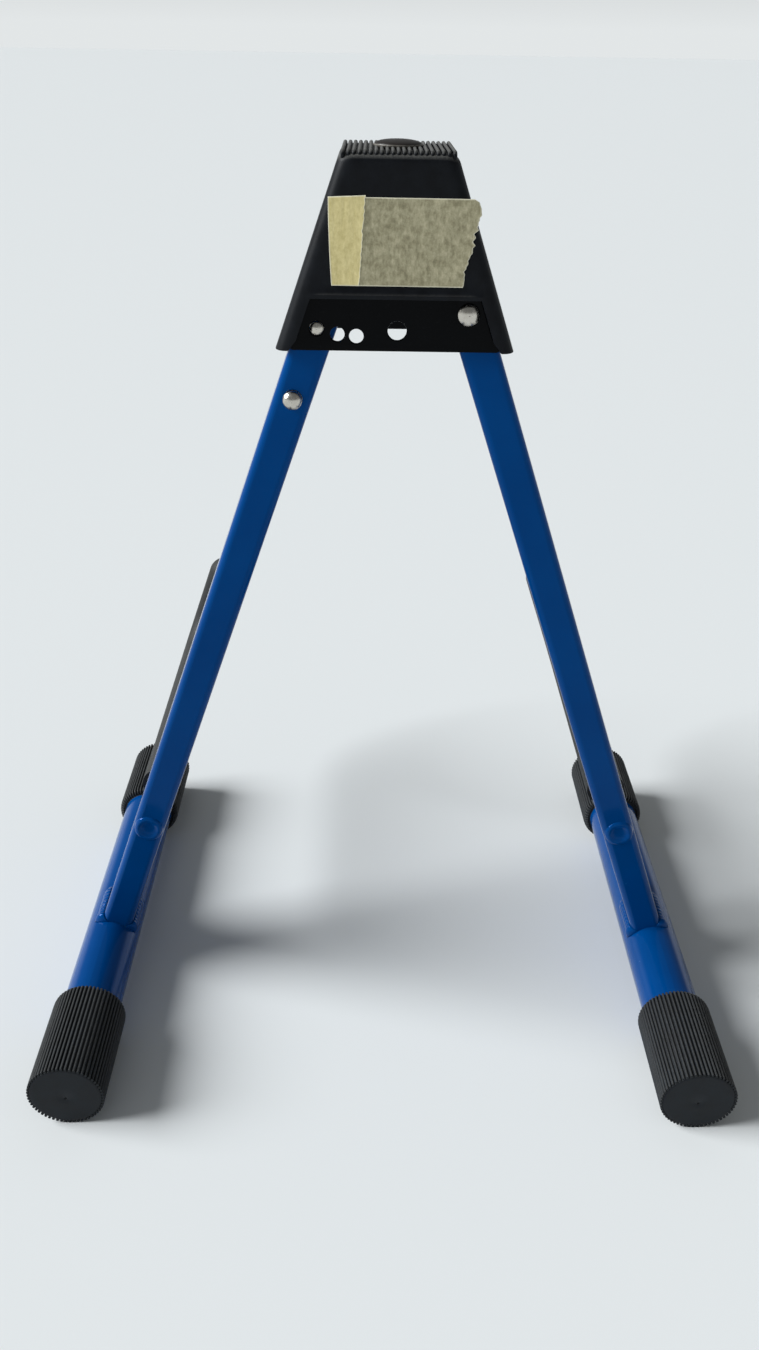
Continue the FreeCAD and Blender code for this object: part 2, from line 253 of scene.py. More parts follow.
def weld_bead(mesh, side, face):
    """One bead that starts round the leg's rolled corner; face is -1 or +1, its side of the leg."""
    foot, tube_radius, across, up = leg_axes(side)
    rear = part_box(side + "_leg")[0].y
    rings = []
    for station in range(BEAD_STATIONS + 1):
        # closer together at the rear, where the bead changes most
        along = BEAD_LENGTH * (station / BEAD_STATIONS) ** BEAD_CROWDING
        corner = max(0.0, LEG_CORNER - along)
        wall = face * (LEG_WIDTH / 2 - LEG_CORNER + math.sqrt(LEG_CORNER ** 2 - corner ** 2))
        rise = math.sqrt(tube_radius ** 2 - wall ** 2)
        lean = math.atan2(abs(wall), rise)
        swell = bead_swell(along)
        high = Vector((wall, rise + BEAD_UP_LEG * swell))
        round_tube = lean + BEAD_OVER_TUBE * swell / tube_radius
        low = Vector((face * math.sin(round_tube), math.cos(round_tube))) * tube_radius
        outwards = Vector((face, 1.0)).normalized()
        belly = (high + low) / 2 + outwards * BEAD_CROWN * swell
        section = []
        for step in range(BEAD_ARC + 1):
            t = step / BEAD_ARC
            section.append(high * (1 - t) ** 2 + belly * 2 * t * (1 - t) + low * t ** 2)
        section.append(Vector((wall - face * BEAD_ROOT, rise - BEAD_ROOT)))
        place = foot + Vector((0, rear - BEAD_OVERHANG + along, 0))
        rings.append([mesh.verts.new(place + across * u + up * v) for u, v in section])
    for first, second in zip(rings, rings[1:]):
        for i in range(len(first)):
            j = (i + 1) % len(first)
            mesh.faces.new((first[i], first[j], second[j], second[i]))
    mesh.faces.new(rings[0])
    mesh.faces.new(rings[-1])


for side, body in SIDES.items():
    beads = bmesh.new()
    weld_bead(beads, side, -1)
    weld_bead(beads, side, 1)
    beads = placed_piece(side + "_leg_weld_beads", beads, enamel)
    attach(beads, body)
    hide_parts(side + "_leg_weld")

# ---------------------------------------------------------------------------------------
# Foot caps: moulded black rubber, pushed over the tube ends. Fine rounded ribs run their
# whole length and end in a scalloped rim, a plain disc closes the end with a small sprue
# pit just below its middle, and the shoulder towards the tube is rounded.

CAP_RIB_COUNT = 56
CAP_RIB_RADIUS = 0.55 * MM
CAP_GROOVE = 1.0 * MM
CAP_SHOULDER = 2.6 * MM
CAP_RIM = 0.35 * MM
CAP_SKIRT = 8 * MM
CAP_CLEARANCE = 0.02 * MM
CAP_STEPS = 112
CAP_SHOULDER_STEPS = 4
CAP_RIB_SHORT = 0.3 * MM
CAP_RIB_DROP = 0.62
# a rib's points as shares of its way over the shoulder, and how far each one has dropped
CAP_RIB_REACH = (0.0, 0.0, 0.55, 0.85, 1.0)
CAP_RIB_FALL = (0.0, 0.0, 0.13, 0.5, 1.0)
SPRUE_RADIUS = 0.55 * MM
SPRUE_DEPTH = 0.7 * MM
SPRUE_LIP = 0.1 * MM
SPRUE_DROP = 1.3 * MM


def black_rubber(name, dark, light, grain, roughness, shine, dust):
    """Moulded rubber: near black and satin. The eye gets a fine grain off the mould, a greyer
    bloom in soft patches, and a grey on whatever faces up that is partly dust and partly
    painted light from above, which lightens rib tops and lips."""
    material, tree, shader, place = start_material(name, IOR=1.5, Specular_IOR_Level=shine)
    bloom = add(
        tree,
        "ShaderNodeTexNoise",
        {"Vector": place, "Scale": per(7), "Detail": 5.0, "Roughness": 0.6},
    )
    patches = add(
        tree,
        "ShaderNodeMapRange",
        {"Value": bloom.outputs["Fac"], "From Min": 0.35, "From Max": 0.75},
    )
    tint = add(
        tree,
        "ShaderNodeMix",
        {"Factor": patches.outputs["Result"], "A": colour(dark), "B": colour(light)},
        data_type="RGBA",
    )
    # faces turned up go greyer: partly settled dust, partly painted light from above; dust sets how far
    normal = add(tree, "ShaderNodeNewGeometry").outputs["Normal"]
    facing = add(tree, "ShaderNodeSeparateXYZ", {"Vector": normal})
    dust_and_top_light_mask = add(
        tree,
        "ShaderNodeMapRange",
        {"Value": facing.outputs["Z"], "From Min": 0.35, "From Max": 1.0, "To Max": dust},
    )
    # real dust specks are about 0.05 mm, and these are drawn ten times that to show at all
    motes = add(tree, "ShaderNodeTexNoise", {"Vector": place, "Scale": per(0.5), "Detail": 2.0})
    dust_and_top_light_specks = add(
        tree,
        "ShaderNodeMath",
        {0: dust_and_top_light_mask.outputs["Result"], 1: motes.outputs["Fac"]},
        operation="MULTIPLY",
    )
    lightened = add(
        tree,
        "ShaderNodeMix",
        {"Factor": dust_and_top_light_specks.outputs["Value"], "A": tint.outputs["Result"], "B": colour("#8B8A86")},
        data_type="RGBA",
    )
    tree.links.new(lightened.outputs["Result"], shader.inputs["Base Color"])
    dull = add(
        tree,
        "ShaderNodeMapRange",
        {
            "Value": bloom.outputs["Fac"],
            "From Min": 0.3,
            "From Max": 0.8,
            "To Min": roughness - 0.06,
            "To Max": roughness + 0.1,
        },
    )
    tree.links.new(dull.outputs["Result"], shader.inputs["Roughness"])
    pits = add(tree, "ShaderNodeTexNoise", {"Vector": place, "Scale": per(grain), "Detail": 3.0})
    skin = add(
        tree,
        "ShaderNodeBump",
        {"Height": pits.outputs["Fac"], "Strength": 0.5, "Distance": 0.06 * MM},
    )
    tree.links.new(skin.outputs["Normal"], shader.inputs["Normal"])
    return material


def turned_mesh(profile, axis_point, axis, steps):
    """Closed turned mesh: profile is (radius, distance along the axis) pairs, poles at radius 0."""
    turn = Vector((0, 0, 1)).rotation_difference(axis).to_matrix()
    mesh = bmesh.new()
    rings = []
    for radius, along in profile:
        count = 1 if radius == 0 else steps
        ring = []
        for i in range(count):
            angle = 2 * math.pi * i / steps
            local = Vector((radius * math.cos(angle), radius * math.sin(angle), along))
            ring.append(mesh.verts.new(turn @ local + axis_point))
        rings.append(ring)
    for low, high in zip(rings, rings[1:]):
        for i in range(steps):
            corners = [low[i % len(low)], low[(i + 1) % len(low)]]
            corners += [high[(i + 1) % len(high)], high[i % len(high)]]
            mesh.faces.new(list(dict.fromkeys(corners)))
    return mesh


def tree_with(name, sizes):
    """An empty geometry tree with a geometry input and output and named inputs for its sizes."""
    tree = bpy.data.node_groups.new(name, "GeometryNodeTree")
    tree.interface.new_socket("Geometry", in_out="OUTPUT", socket_type="NodeSocketGeometry")
    tree.interface.new_socket("Geometry", in_out="INPUT", socket_type="NodeSocketGeometry")
    for label, kind in sizes.items():
        tree.interface.new_socket(label, in_out="INPUT", socket_type="NodeSocket" + kind)
    given = tree.nodes.new("NodeGroupInput")
    result = tree.nodes.new("NodeGroupOutput")
    return tree, given.outputs, result


def finish_with_tree(piece, tree, values):
    """Runs a geometry tree on a piece with these values and keeps the result as a plain mesh."""
    modifier = piece.modifiers.new(tree.name, "NODES")
    modifier.node_group = tree
    for item in tree.interface.items_tree:
        if item.in_out == "INPUT" and item.name in values:
            modifier[item.identifier] = values[item.name]
    evaluated = piece.evaluated_get(bpy.context.evaluated_depsgraph_get())
    made = bpy.data.meshes.new_from_object(evaluated)
    piece.modifiers.clear()
    piece.data = made


def points_with_shares(tree, *columns):
    """A curve with a point for each share in a column, and each column read off by point."""
    line = add(tree, "GeometryNodeCurvePrimitiveLine").outputs["Curve"]
    points = add(tree, "GeometryNodeResampleCurve", {"Curve": line, "Count": len(columns[0])})
    index = add(tree, "GeometryNodeInputIndex").outputs["Index"]
    read = []
    for shares in columns:
        table = add(tree, "GeometryNodeIndexSwitch", {"Index": index}, data_type="FLOAT")
        for extra in range(len(shares) - len(table.index_switch_items)):
            table.index_switch_items.new()
        for slot, value in zip(table.inputs[1:], shares):
            slot.default_value = value
        read.append(table.outputs["Output"])
    return points.outputs["Curve"], index, read


def end_with_copies(tree, given, result, copies):
    """Moves the copies to the centre, joins them to the piece's own body and ends the tree."""
    moved = add(
        tree,
        "GeometryNodeTransform",
        {"Geometry": copies.outputs["Instances"], "Translation": given["Centre"]},
    )
    together = add(tree, "GeometryNodeJoinGeometry", {"Geometry": moved.outputs["Geometry"]})
    tree.links.new(given["Geometry"], together.inputs["Geometry"])
    real = add(tree, "GeometryNodeRealizeInstances", {"Geometry": together.outputs["Geometry"]})
    dressed = add(
        tree,
        "GeometryNodeSetMaterial",
        {"Geometry": real.outputs["Geometry"], "Material": given["Material"]},
    )
    tree.links.new(dressed.outputs["Geometry"], result.inputs["Geometry"])


def cap_rib_tree():
    """Straight ribs set round a circle about the Y axis, over the cap's own body."""
    tree, given, result = tree_with(
        "ribs_round_a_cap",
        {
            "Count": "Int",
            "Circle Radius": "Float",
            "Rib Radius": "Float",
            "Shoulder Y": "Float",
            "Tip Y": "Float",
            "Shoulder Drop": "Float",
            "Centre": "Vector",
            "Material": "Material",
        },
    )
    # one rib, its far end dropped towards the axis over the cap's shoulder
    points, index, (reach, fall) = points_with_shares(tree, CAP_RIB_REACH, CAP_RIB_FALL)
    past_shoulder = add(
        tree,
        "ShaderNodeMapRange",
        {"Value": reach, "To Min": given["Shoulder Y"], "To Max": given["Tip Y"]},
    )
    at_start = add(
        tree, "FunctionNodeCompare", {"A": index, "B": 0}, data_type="INT", operation="EQUAL"
    )
    along = add(
        tree,
        "GeometryNodeSwitch",
        {
            "Switch": at_start.outputs["Result"],
            "False": past_shoulder.outputs["Result"],
            "True": 0.0,
        },
        input_type="FLOAT",
    )
    drop = add(tree, "ShaderNodeMath", {0: fall, 1: given["Shoulder Drop"]}, operation="MULTIPLY")
    out_to = add(
        tree,
        "ShaderNodeMath",
        {0: given["Circle Radius"], 1: drop.outputs["Value"]},
        operation="SUBTRACT",
    )
    spot = add(
        tree,
        "ShaderNodeCombineXYZ",
        {"X": out_to.outputs["Value"], "Y": along.outputs["Output"]},
    )
    bent = add(
        tree, "GeometryNodeSetPosition", {"Geometry": points, "Position": spot.outputs["Vector"]}
    )
    section = add(
        tree, "GeometryNodeCurvePrimitiveCircle", {"Resolution": 10, "Radius": given["Rib Radius"]}
    )
    rib = add(
        tree,
        "GeometryNodeCurveToMesh",
        {
            "Curve": bent.outputs["Geometry"],
            "Profile Curve": section.outputs["Curve"],
            "Fill Caps": True,
        },
    )
    smooth = add(tree, "GeometryNodeSetShadeSmooth", {"Geometry": rib.outputs["Mesh"]})
    # copies of it, each turned a step further about the axis
    seats = add(tree, "GeometryNodeMeshLine", {"Count": given["Count"], "Offset": (0.0, 0.0, 0.0)})
    turn = add(tree, "ShaderNodeMath", {0: index, 1: 2 * math.pi}, operation="MULTIPLY")
    share = add(
        tree, "ShaderNodeMath", {0: turn.outputs["Value"], 1: given["Count"]}, operation="DIVIDE"
    )
    facing = add(tree, "ShaderNodeCombineXYZ", {"Y": share.outputs["Value"]})
    copies = add(
        tree,
        "GeometryNodeInstanceOnPoints",
        {
            "Points": seats.outputs["Mesh"],
            "Instance": smooth.outputs["Geometry"],
            "Rotation": facing.outputs["Vector"],
        },
    )
    end_with_copies(tree, given, result, copies)
    return tree


def foot_cap(side, end, ribs, rubber):
    """One cap: a turned body with its ribs, in place of the plain one."""
    node_name = side + "_" + end + "_cap"
    low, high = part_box(node_name)
    centre = (low + high) / 2
    outside, inside = (low.y, high.y) if end == "rear" else (high.y, low.y)
    inwards = 1 if inside > outside else -1
    radius = (high.z - low.z) / 2
    core = radius - CAP_GROOVE
    length = abs(inside - outside)
    bore = (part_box(side + "_base_tube")[1].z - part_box(side + "_base_tube")[0].z) / 2 + CAP_CLEARANCE
    profile = [(0, SPRUE_DEPTH), (SPRUE_RADIUS * 0.7, SPRUE_DEPTH), (SPRUE_RADIUS, SPRUE_LIP)]
    profile += [(SPRUE_RADIUS * 1.5, 0.0), (core / 3, 0.0), (core - 3 * CAP_RIM, 0.0)]
    profile += [(core - CAP_RIM, 0.0), (core, CAP_RIM * 0.4)]
    profile.append((core, length - CAP_SHOULDER))
    for step in range(1, CAP_SHOULDER_STEPS + 1):
        lean = math.radians(90 * step / CAP_SHOULDER_STEPS)
        inset = CAP_SHOULDER * (1 - math.cos(lean))
        profile.append((core - inset, length - CAP_SHOULDER * (1 - math.sin(lean))))
    profile += [(bore, length), (bore, length - CAP_SKIRT)]
    start = Vector((centre.x, outside, centre.z))
    mesh = turned_mesh(profile, start, Vector((0, inwards, 0)), CAP_STEPS)
    for point in mesh.verts:
        if math.hypot(point.co.x - start.x, point.co.z - start.z) < 2 * SPRUE_RADIUS:
            point.co.z -= SPRUE_DROP
    cap = placed_piece(node_name + "_ribbed", mesh, rubber)
    finish_with_tree(
        cap,
        ribs,
        {
            "Count": CAP_RIB_COUNT,
            "Circle Radius": radius - CAP_RIB_RADIUS,
            "Rib Radius": CAP_RIB_RADIUS,
            "Shoulder Y": inwards * (length - CAP_SHOULDER),
            "Tip Y": inwards * (length - CAP_RIB_SHORT),
            "Shoulder Drop": CAP_SHOULDER * CAP_RIB_DROP,
            "Centre": tuple(start),
            "Material": rubber,
        },
    )
    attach(cap, SIDES[side])
    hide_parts(node_name)


# the last value sets the grey on faces turned up: dust and painted light from above together
cap_rubber = black_rubber("moulded_cap_rubber", "#12161B", "#1C2228", 0.35, 0.48, 0.16, 0.3)
cap_ribs = cap_rib_tree()
for side in SIDES:
    for end in ("rear", "front"):
        foot_cap(side, end, cap_ribs, cap_rubber)

# ---------------------------------------------------------------------------------------
# Support arms: a bent steel rod through each leg, in a thick black rubber sleeve with a
# domed tip that doesn't mark the instrument. The rod's rear end is plug welded flush with
# the leg and ground back by hand, which leaves a low uneven ring under the enamel.

RING_OUTER = 5.9 * MM
RING_CREST = 4.3 * MM
RING_HEIGHT = 0.75 * MM
RING_HOLLOW = 2.6 * MM
RING_ROOT = 0.6 * MM
RING_UNEVEN = 0.45
RING_LUMP = 3.5
RING_STEPS = 56


def drawn_steel():
    """Drawn steel: grey metal with fine lines along the draw and a thin brownish film of oil
    in soft spots, where it is duller."""
    material, tree, shader, place = start_material("drawn_steel", Metallic=1.0)
    lines = add(tree, "ShaderNodeMapping", {"Vector": place, "Scale": (1.0, 0.05, 1.0)})
    draw = add(tree, "ShaderNodeTexNoise", {"Vector": lines.outputs["Vector"], "Scale": per(0.5)})
    tint = add(
        tree,
        "ShaderNodeMix",
        {"Factor": draw.outputs["Fac"], "A": colour("#8A8C8E"), "B": colour("#B4B6B8")},
        data_type="RGBA",
    )
    oil = add(tree, "ShaderNodeTexNoise", {"Vector": place, "Scale": per(6), "Detail": 3.0})
    film = add(
        tree,
        "ShaderNodeMapRange",
        {"Value": oil.outputs["Fac"], "From Min": 0.5, "From Max": 0.75, "To Max": 0.6},
    )
    oiled = add(
        tree,
        "ShaderNodeMix",
        {"Factor": film.outputs["Result"], "A": tint.outputs["Result"], "B": colour("#6E6656")},
        data_type="RGBA",
    )
    tree.links.new(oiled.outputs["Result"], shader.inputs["Base Color"])
    gloss = add(
        tree,
        "ShaderNodeMapRange",
        {"Value": draw.outputs["Fac"], "To Min": 0.25, "To Max": 0.5},
    )
    tree.links.new(gloss.outputs["Result"], shader.inputs["Roughness"])
    skin = add(
        tree,
        "ShaderNodeBump",
        {"Height": draw.outputs["Fac"], "Strength": 0.4, "Distance": 0.03 * MM},
    )
    tree.links.new(skin.outputs["Normal"], shader.inputs["Normal"])
    return material


def plug_weld_ring(side):
    """Ring of weld metal, draped over the leg's rolled corners and uneven round its crest."""
    low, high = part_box(side + "_arm_weld")
    centre = (low + high) / 2
    seat = Vector((centre.x, high.y, centre.z))
    across = leg_axes(side)[2]
    profile = [(0, -RING_ROOT), (RING_OUTER, -RING_ROOT), (RING_OUTER, 0.05 * MM)]
    profile += [(RING_OUTER - 0.5 * MM, 0.5 * MM), (RING_CREST + 0.5 * MM, RING_HEIGHT)]
    profile += [(RING_CREST - 0.4 * MM, RING_HEIGHT * 0.95)]
    profile += [(RING_HOLLOW + 0.6 * MM, RING_HEIGHT * 0.45), (RING_HOLLOW, 0.12 * MM)]
    profile += [(RING_HOLLOW * 0.5, 0.06 * MM), (0, 0.08 * MM)]
    mesh = turned_mesh(profile, seat, Vector((0, -1, 0)), RING_STEPS)
    flat = LEG_WIDTH / 2 - LEG_CORNER
    for point in mesh.verts:
        spoke = point.co - seat
        height = seat.y - point.co.y
        if height > 0:
            spot = Vector((spoke.x, 0, spoke.z)) * per(RING_LUMP) + Vector((side_sign(side), 0, 0))
            point.co.y = seat.y - height * (1 + RING_UNEVEN * noise.noise(spot))
        # draped down over the leg's corner, short of where the corner turns straight down
        past = min(abs(spoke.dot(across)) - flat, LEG_CORNER * 0.95)
        if past > 0:
            point.co.y += LEG_CORNER - math.sqrt(LEG_CORNER ** 2 - past ** 2)
    ring = placed_piece(side + "_arm_plug_weld", mesh, enamel)
    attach(ring, SIDES[side])
    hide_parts(side + "_arm_weld")


sleeve_rubber = black_rubber("extruded_sleeve_rubber", "#1B1C1D", "#282A2A", 0.5, 0.6, 0.24, 0.22)
steel = drawn_steel()
for side in SIDES:
    dress(side + "_arm_sleeve", sleeve_rubber)
    dress(side + "_arm_rod", steel)
    plug_weld_ring(side)

# ---------------------------------------------------------------------------------------
# Head bracket: a channel pressed from 1.5 mm steel sheet, with its lock holes punched
# before the glossy black enamel went on. Its edges are rounded over by the press.

BRACKET_EDGE = 0.4 * MM
SAME_POINT = 0.002 * MM


def black_enamel():
    """Baked enamel: very dark and glossy. The eye gets hairline scratches along the sheet
    and a thin film of fine dust."""
    material, tree, shader, place = start_material(
        "black_baked_enamel", Specular_IOR_Level=0.04, Coat_Weight=0.04, Coat_Roughness=0.05
    )
    dust = add(tree, "ShaderNodeTexNoise", {"Vector": place, "Scale": per(0.9), "Detail": 6.0})
    film = add(
        tree,
        "ShaderNodeMapRange",
        {"Value": dust.outputs["Fac"], "From Min": 0.6, "From Max": 0.9, "To Max": 0.5},
    )
    tint = add(
        tree,
        "ShaderNodeMix",
        {"Factor": film.outputs["Result"], "A": colour("#050608"), "B": colour("#1C1E21")},
        data_type="RGBA",
    )
    tree.links.new(tint.outputs["Result"], shader.inputs["Base Color"])
    scratch_place = add(tree, "ShaderNodeMapping", {"Vector": place, "Scale": (0.2, 1.0, 1.0)})
    scratch = add(
        tree,
        "ShaderNodeTexNoise",
        {"Vector": scratch_place.outputs["Vector"], "Scale": per(0.7), "Detail": 4.0},
    )
    gloss = add(
        tree,
        "ShaderNodeMapRange",
        {
            "Value": scratch.outputs["Fac"],
            "From Min": 0.4,
            "From Max": 0.75,
            "To Min": 0.12,
            "To Max": 0.3,
        },
    )
    tree.links.new(gloss.outputs["Result"], shader.inputs["Roughness"])
    wave = add(tree, "ShaderNodeTexNoise", {"Vector": place, "Scale": per(4.0), "Detail": 1.0})
    skin = add(
        tree,
        "ShaderNodeBump",
        {"Height": wave.outputs["Fac"], "Strength": 0.3, "Distance": 0.02 * MM},
    )
    tree.links.new(skin.outputs["Normal"], shader.inputs["Normal"])
    tree.links.new(skin.outputs["Normal"], shader.inputs["Coat Normal"])
    return material


def round_over(piece, width, segments, sharper_than):
    """Rounds every edge of a piece that is sharper than an angle in degrees."""
    bevel = piece.modifiers.new("pressed_edge", "BEVEL")
    bevel.width = width
    bevel.segments = segments
    bevel.limit_method = "ANGLE"
    bevel.angle_limit = math.radians(sharper_than)
    bevel.harden_normals = True


pressed = bmesh.new()
pressed.from_mesh(frame["nodes"]["head_bracket"].data)
bmesh.ops.remove_doubles(pressed, verts=pressed.verts, dist=SAME_POINT)
bmesh.ops.dissolve_limit(
    pressed, angle_limit=math.radians(1.0), verts=pressed.verts, edges=pressed.edges
)
bracket_enamel = black_enamel()
bracket = placed_piece("head_bracket_pressed", pressed, bracket_enamel)
round_over(bracket, BRACKET_EDGE, segments=3, sharper_than=40)
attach(bracket, "head_and_right_leg")
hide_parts("head_bracket")

# ---------------------------------------------------------------------------------------
# Lock and pivot: rivets, lock pin and release button are headed and turned steel with a
# bright nickel plate. Inside the left leg sit a hairpin leaf spring and the pivot sleeve,
# and thin nylon washers keep the leg off the painted plates.


def nickel_plate():
    """Nickel plate: warm bright metal. The eye gets a faintly cloudy gloss, shallow dents
    from the rivet tool and brown specks where the plate is thin."""
    material, tree, shader, place = start_material("nickel_plate", Metallic=1.0)
    cloud = add(tree, "ShaderNodeTexNoise", {"Vector": place, "Scale": per(1.5), "Detail": 4.0})
    tint = add(
        tree,
        "ShaderNodeMix",
        {"Factor": cloud.outputs["Fac"], "A": colour("#B9B3A8"), "B": colour("#D6D2CA")},
        data_type="RGBA",
    )
    thin = add(tree, "ShaderNodeTexNoise", {"Vector": place, "Scale": per(0.6), "Detail": 3.0})
    specks = add(
        tree,
        "ShaderNodeMapRange",
        {"Value": thin.outputs["Fac"], "From Min": 0.7, "From Max": 0.78, "To Max": 0.6},
    )
    worn = add(
        tree,
        "ShaderNodeMix",
        {"Factor": specks.outputs["Result"], "A": tint.outputs["Result"], "B": colour("#6A5136")},
        data_type="RGBA",
    )
    tree.links.new(worn.outputs["Result"], shader.inputs["Base Color"])
    gloss = add(
        tree,
        "ShaderNodeMapRange",
        {
            "Value": cloud.outputs["Fac"],
            "From Min": 0.3,
            "From Max": 0.8,
            "To Min": 0.16,
            "To Max": 0.36,
        },
    )
    tree.links.new(gloss.outputs["Result"], shader.inputs["Roughness"])
    dents = add(tree, "ShaderNodeTexNoise", {"Vector": place, "Scale": per(2.2), "Detail": 1.0})
    skin = add(
        tree,
        "ShaderNodeBump",
        {"Height": dents.outputs["Fac"], "Strength": 0.2, "Distance": 0.06 * MM},
    )
    tree.links.new(skin.outputs["Normal"], shader.inputs["Normal"])
    return material


def natural_nylon():
    """Moulded nylon: milky white and slightly waxy, with a cloudy tone and a fine mould grain."""
    material, tree, shader, place = start_material(
        "natural_nylon", Subsurface_Weight=0.15, Subsurface_Scale=0.5 * MM
    )
    cloud = add(tree, "ShaderNodeTexNoise", {"Vector": place, "Scale": per(4), "Detail": 2.0})
    tint = add(
        tree,
        "ShaderNodeMix",
        {"Factor": cloud.outputs["Fac"], "A": colour("#D9D6CC"), "B": colour("#E9E7DF")},
        data_type="RGBA",
    )
    tree.links.new(tint.outputs["Result"], shader.inputs["Base Color"])
    gloss = add(
        tree, "ShaderNodeMapRange", {"Value": cloud.outputs["Fac"], "To Min": 0.38, "To Max": 0.52}
    )
    tree.links.new(gloss.outputs["Result"], shader.inputs["Roughness"])
    grain = add(tree, "ShaderNodeTexNoise", {"Vector": place, "Scale": per(0.4)})
    skin = add(
        tree,
        "ShaderNodeBump",
        {"Height": grain.outputs["Fac"], "Strength": 0.3, "Distance": 0.02 * MM},
    )
    tree.links.new(skin.outputs["Normal"], shader.inputs["Normal"])
    return material


nickel = nickel_plate()
plated = ["left_pivot_rivet", "right_upper_rivet", "right_lower_rivet"]
for name in plated + ["lock_pin", "release_button"]:
    dress(name, nickel)
dress("lock_spring", steel)
dress("pivot_sleeve", steel)
nylon = natural_nylon()
dress("pivot_washers", nylon)
dress("right_leg_spacers", nylon)

# ---------------------------------------------------------------------------------------
# Head pad: one soft black rubber moulding stretched down over the bracket. Its rear and
# front panels stop short above the lock holes and its side walls reach the bracket's foot.
# A row of rounded ribs runs over the top and sinks into the rounded shoulder at each end.

PAD_WALL = 2.3 * MM
PAD_HALF_TOP = 17.4 * MM
PAD_TOP_INSET = 2.6 * MM
PAD_UPRIGHT_CORNER = 4.2 * MM
PAD_LEAST_CORNER = 1.5 * MM
PAD_TOP_STEPS = 5
PAD_CORNER_STEPS = 4
PAD_REAR_STEPS = 26
PAD_SIDE_STEPS = 10
PAD_ROW = 3.2 * MM
PAD_PANEL_DROP = 28.9 * MM
PAD_HANGING_EDGE = 1.5 * MM
PAD_LIP_BULGE = 0.8 * MM
PAD_LIP_AT = 1.3 * MM
PAD_LIP_SLOPE = 1.5 * MM
PAD_LIP_FADE = 2 * MM
PAD_RIM_ROUND = 1.1 * MM
PAD_FOOT_ROUND = 1.8 * MM
PAD_SAME_ROW = 0.1 * MM
RIB_COUNT = 21
RIB_PITCH = 1.67 * MM
RIB_RADIUS = 0.66 * MM
RIB_STAND = 0.9 * MM
RIB_RUN_DOWN = 1.6 * MM
RIB_INSET = 0.9 * MM
RIB_BEND = 1.2 * MM
# a rib's points as shares of its half run sideways, and of its run down at either end
RIB_SIDEWAYS = (-0.93, -1.0, -1.0, 1.0, 1.0, 0.93)
RIB_FALLING = (-1.22, -0.95, 0.0, 0.0, -0.95, -1.22)

pad_low, pad_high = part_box("head_pad")
PAD_MIDDLE = (pad_low + pad_high) / 2
PAD_BODY_TOP = pad_high.z - RIB_STAND
PAD_HALF_DEPTH = (pad_high.y - pad_low.y) / 2
PAD_HALF_FOOT = (pad_high.x - pad_low.x) / 2
PAD_PANEL_FOOT = pivot.z - PAD_PANEL_DROP


def pad_half_width(z):
    """Half the pad's width at a height: straight sides that widen to the foot."""
    share = (pad_high.z - z) / (pad_high.z - pad_low.z)
    return PAD_HALF_TOP + (PAD_HALF_FOOT - PAD_HALF_TOP) * share


def pad_rows():
    """(height, inset) of each row of the skin, from the top edge's curve to the foot."""
    rows = []
    for step in range(PAD_TOP_STEPS + 1):
        lean = math.radians(90 * step / PAD_TOP_STEPS)
        inset = PAD_TOP_INSET * (1 - math.sin(lean))
        rows.append((PAD_BODY_TOP - PAD_TOP_INSET * (1 - math.cos(lean)), inset))
    top = rows[-1][0]
    slope = PAD_PANEL_FOOT + PAD_LIP_AT + PAD_LIP_SLOPE
    count = round((top - slope) / PAD_ROW)
    rows += [(top + (slope - top) * (i + 1) / count, 0.0) for i in range(count)]
    rows += [(PAD_PANEL_FOOT + PAD_LIP_AT, 0.0), (PAD_PANEL_FOOT, 0.0)]
    count = round((PAD_PANEL_FOOT - pad_low.z) / PAD_ROW)
    drop = (pad_low.z - PAD_PANEL_FOOT) / count
    rows += [(PAD_PANEL_FOOT + drop * (i + 1), 0.0) for i in range(count)]
    return rows


def pad_outline(half_width, half_depth, corner):
    """Points round the pad, and whether the skin hangs below the panels after each of them."""
    ring = []
    flat_x = half_width - corner
    flat_y = half_depth - corner
    edges = [-flat_x, -flat_x + PAD_HANGING_EDGE]
    inner = flat_x - PAD_HANGING_EDGE
    edges += [-inner + 2 * inner * (i + 1) / PAD_REAR_STEPS for i in range(PAD_REAR_STEPS)]
    edges.append(flat_x)
    last = len(edges) - 2
    turn = math.radians(90 / PAD_CORNER_STEPS)
    corner_turn = [turn * (i + 1) for i in range(PAD_CORNER_STEPS - 1)]
    for facing in (-1, 1):
        for i, x in enumerate(edges):
            ring.append((-facing * x, facing * half_depth, i == 0 or i >= last))
        for lean in corner_turn:
            x = -facing * (flat_x + corner * math.sin(lean))
            ring.append((x, facing * (flat_y + corner * math.cos(lean)), True))
        for i in range(PAD_SIDE_STEPS + 1):
            y = facing * (flat_y - 2 * flat_y * i / PAD_SIDE_STEPS)
            ring.append((-facing * half_width, y, True))
        for lean in corner_turn:
            x = -facing * (flat_x + corner * math.cos(lean))
            ring.append((x, -facing * (flat_y + corner * math.sin(lean)), True))
    return ring


def foot_lift(outline):
    """How far each point of the foot is raised, to round the hanging side walls' corners."""
    count = len(outline)
    walked = [math.inf if outline[i][2] and outline[i - 1][2] else 0.0 for i in range(count)]
    for order, back in ((range(2 * count), -1), (range(2 * count, 0, -1), 1)):
        for i in order:
            here, last = i % count, (i + back) % count
            step = math.dist(outline[here][:2], outline[last][:2])
            walked[here] = min(walked[here], walked[last] + step)
    short = [max(0.0, PAD_FOOT_ROUND - far) for far in walked]
    return [PAD_FOOT_ROUND - math.sqrt(PAD_FOOT_ROUND ** 2 - gap ** 2) for gap in short]


